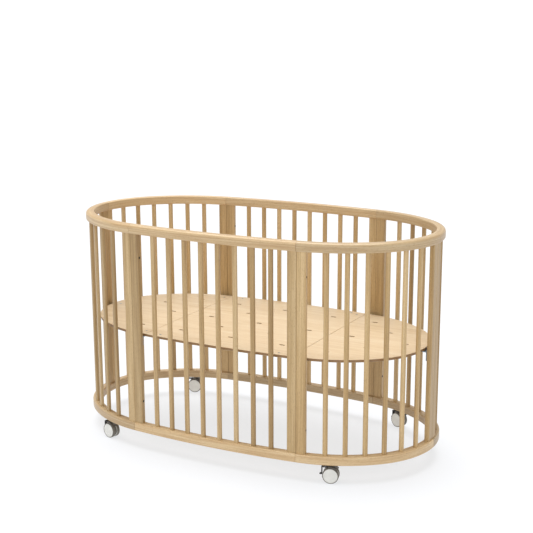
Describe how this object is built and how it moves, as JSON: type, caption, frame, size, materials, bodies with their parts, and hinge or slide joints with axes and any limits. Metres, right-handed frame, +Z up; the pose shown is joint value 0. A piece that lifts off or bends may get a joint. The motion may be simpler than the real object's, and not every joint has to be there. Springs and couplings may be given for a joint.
{
  "type": "baby crib",
  "caption": "Oval wooden baby crib with upright slats between curved rails, thin slotted plywood mattress base, and braked twin-wheel casters",
  "frame": {"origin": "on the floor under the middle of the oval", "axes": "+X along the length, +Y across the width, +Z up"},
  "size_m": [1.38, 0.7258, 0.8215],
  "materials": {
    "beech": "oiled beech, fine straight grain",
    "plywood": "lacquered beech plywood",
    "steel": "zinc-plated steel",
    "wheel_plastic": "pale grey moulded hub discs, darker tread",
    "housing_plastic": "dark grey moulded nylon",
    "lever_plastic": "black moulded nylon"
  },
  "bodies": {
    "crib": {"base_brackets": "steel", "base_left": "plywood", "base_middle": "plywood", "base_right": "plywood", "base_screws": "steel", "bolt_caps": "lever_plastic", "bottom_rail_back": "beech", "bottom_rail_back_left": "beech", "bottom_rail_back_right": "beech", "bottom_rail_front": "beech", "bottom_rail_front_left": "beech", "bottom_rail_front_right": "beech", "bracket_screws": "steel", "caster_back_left_stem": "steel", "caster_back_right_stem": "steel", "caster_front_left_stem": "steel", "caster_front_right_stem": "steel", "joint_bolts": "steel", "joint_nuts": "steel", "post_back_left_inner": "beech", "post_back_left_outer": "beech", "post_back_right_inner": "beech", "post_back_right_outer": "beech", "post_front_left_inner": "beech", "post_front_left_outer": "beech", "post_front_right_inner": "beech", "post_front_right_outer": "beech", "post_left_end_back": "beech", "post_left_end_front": "beech", "post_right_end_back": "beech", "post_right_end_front": "beech", "slats_back": "beech", "slats_back_left": "beech", "slats_back_right": "beech", "slats_front": "beech", "slats_front_left": "beech", "slats_front_right": "beech", "top_rail_back": "beech", "top_rail_back_left": "beech", "top_rail_back_right": "beech", "top_rail_front": "beech", "top_rail_front_left": "beech", "top_rail_front_right": "beech"},
    "swivel_front_left": {"caster_front_left_housing": "housing_plastic", "caster_front_left_axle": "steel"},
    "wheels_front_left": {"caster_front_left_wheels": "wheel_plastic"},
    "brake_front_left": {"caster_front_left_brake": "lever_plastic"},
    "swivel_front_right": {"caster_front_right_housing": "housing_plastic", "caster_front_right_axle": "steel"},
    "wheels_front_right": {"caster_front_right_wheels": "wheel_plastic"},
    "brake_front_right": {"caster_front_right_brake": "lever_plastic"},
    "swivel_back_left": {"caster_back_left_housing": "housing_plastic", "caster_back_left_axle": "steel"},
    "wheels_back_left": {"caster_back_left_wheels": "wheel_plastic"},
    "brake_back_left": {"caster_back_left_brake": "lever_plastic"},
    "swivel_back_right": {"caster_back_right_housing": "housing_plastic", "caster_back_right_axle": "steel"},
    "wheels_back_right": {"caster_back_right_wheels": "wheel_plastic"},
    "brake_back_right": {"caster_back_right_brake": "lever_plastic"}
  },
  "joints": [
    {"name": "swivel_front_left", "type": "hinge", "parent": "crib", "child": "swivel_front_left", "pos_m": [-0.452, -0.29745, 0.06], "axis": [0, 0, 1], "continuous": true},
    {"name": "roll_front_left", "type": "hinge", "parent": "swivel_front_left", "child": "wheels_front_left", "pos_m": [-0.46558, -0.29406, 0.028], "axis": [0.2419, 0.9703, 0], "continuous": true},
    {"name": "brake_front_left", "type": "hinge", "parent": "swivel_front_left", "child": "brake_front_left", "pos_m": [-0.47957, -0.29058, 0.05511], "axis": [0.2419, 0.9703, 0], "range_deg": [0, 20]},
    {"name": "swivel_front_right", "type": "hinge", "parent": "crib", "child": "swivel_front_right", "pos_m": [0.452, -0.29745, 0.06], "axis": [0, 0, 1], "continuous": true},
    {"name": "roll_front_right", "type": "hinge", "parent": "swivel_front_right", "child": "wheels_front_right", "pos_m": [0.43854, -0.30131, 0.028], "axis": [-0.2756, 0.9613, 0], "continuous": true},
    {"name": "brake_front_right", "type": "hinge", "parent": "swivel_front_right", "child": "brake_front_right", "pos_m": [0.42469, -0.30528, 0.05511], "axis": [-0.2756, 0.9613, 0], "range_deg": [0, 20]},
    {"name": "swivel_back_left", "type": "hinge", "parent": "crib", "child": "swivel_back_left", "pos_m": [-0.452, 0.29745, 0.06], "axis": [0, 0, 1], "continuous": true},
    {"name": "roll_back_left", "type": "hinge", "parent": "swivel_back_left", "child": "wheels_back_left", "pos_m": [-0.46535, 0.29324, 0.028], "axis": [-0.3007, 0.9537, 0], "continuous": true},
    {"name": "brake_back_left", "type": "hinge", "parent": "swivel_back_left", "child": "brake_back_left", "pos_m": [-0.4791, 0.28891, 0.05511], "axis": [-0.3007, 0.9537, 0], "range_deg": [0, 20]},
    {"name": "swivel_back_right", "type": "hinge", "parent": "crib", "child": "swivel_back_right", "pos_m": [0.452, 0.29745, 0.06], "axis": [0, 0, 1], "continuous": true},
    {"name": "roll_back_right", "type": "hinge", "parent": "swivel_back_right", "child": "wheels_back_right", "pos_m": [0.43921, 0.30314, 0.028], "axis": [0.4067, 0.9135, 0], "continuous": true},
    {"name": "brake_back_right", "type": "hinge", "parent": "swivel_back_right", "child": "brake_back_right", "pos_m": [0.42604, 0.30901, 0.05511], "axis": [0.4067, 0.9135, 0], "range_deg": [0, 20]}
  ]
}
